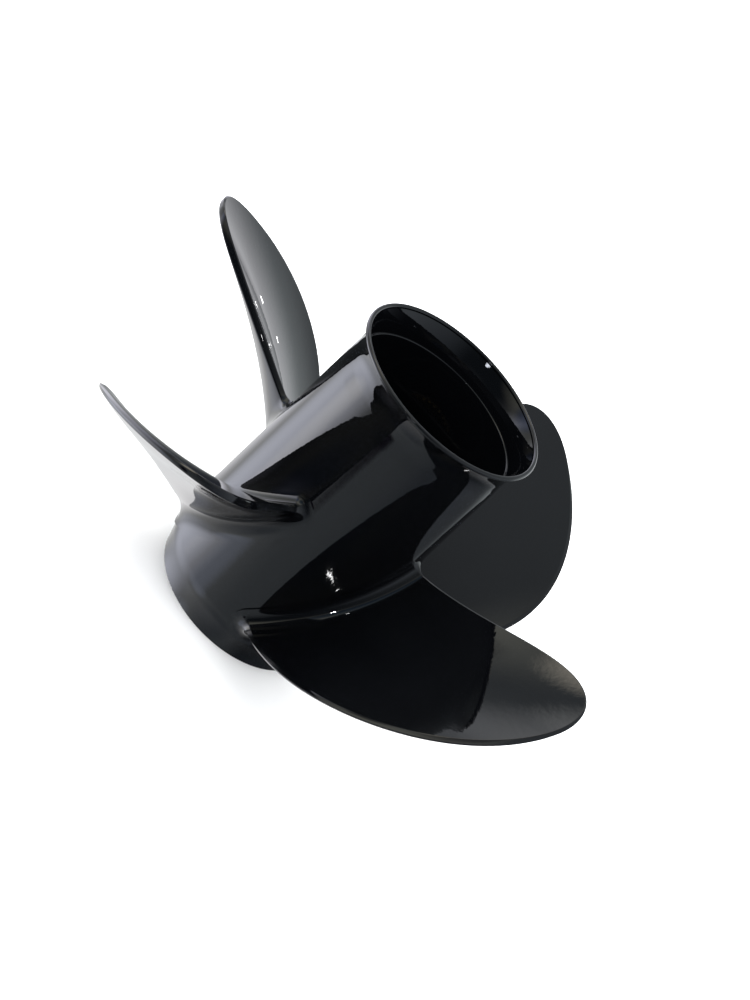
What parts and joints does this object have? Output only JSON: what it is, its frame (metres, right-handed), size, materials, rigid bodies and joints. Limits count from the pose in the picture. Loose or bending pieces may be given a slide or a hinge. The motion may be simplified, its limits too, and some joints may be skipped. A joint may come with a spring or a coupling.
{
  "type": "outboard boat propeller",
  "caption": "Right-hand through-hub-exhaust boat propeller: broad raked blades on a flared barrel with a rubber-mounted splined sleeve.",
  "frame": {"origin": "centre of the barrel's forward rim face, on the shaft axis, where the propeller stands on a floor", "axes": "+Z along the shaft axis towards the stern, +X along the generator line of blade 1 at the barrel"},
  "size_m": [0.3286, 0.3286, 0.1733],
  "materials": {
    "black_paint": "cast aluminium under gloss black enamel",
    "bushing_rubber": "matt black",
    "sleeve_brass": "machined, dull"
  },
  "bodies": {
    "root": {"barrel": "black_paint", "blade_1": "black_paint", "blade_2": "black_paint", "blade_3": "black_paint", "blade_4": "black_paint", "inner_hub": "black_paint", "rib_1": "black_paint", "rib_2": "black_paint", "rib_3": "black_paint", "rib_4": "black_paint", "rubber_bushing": "bushing_rubber", "splined_sleeve": "sleeve_brass"}
  },
  "joints": []
}
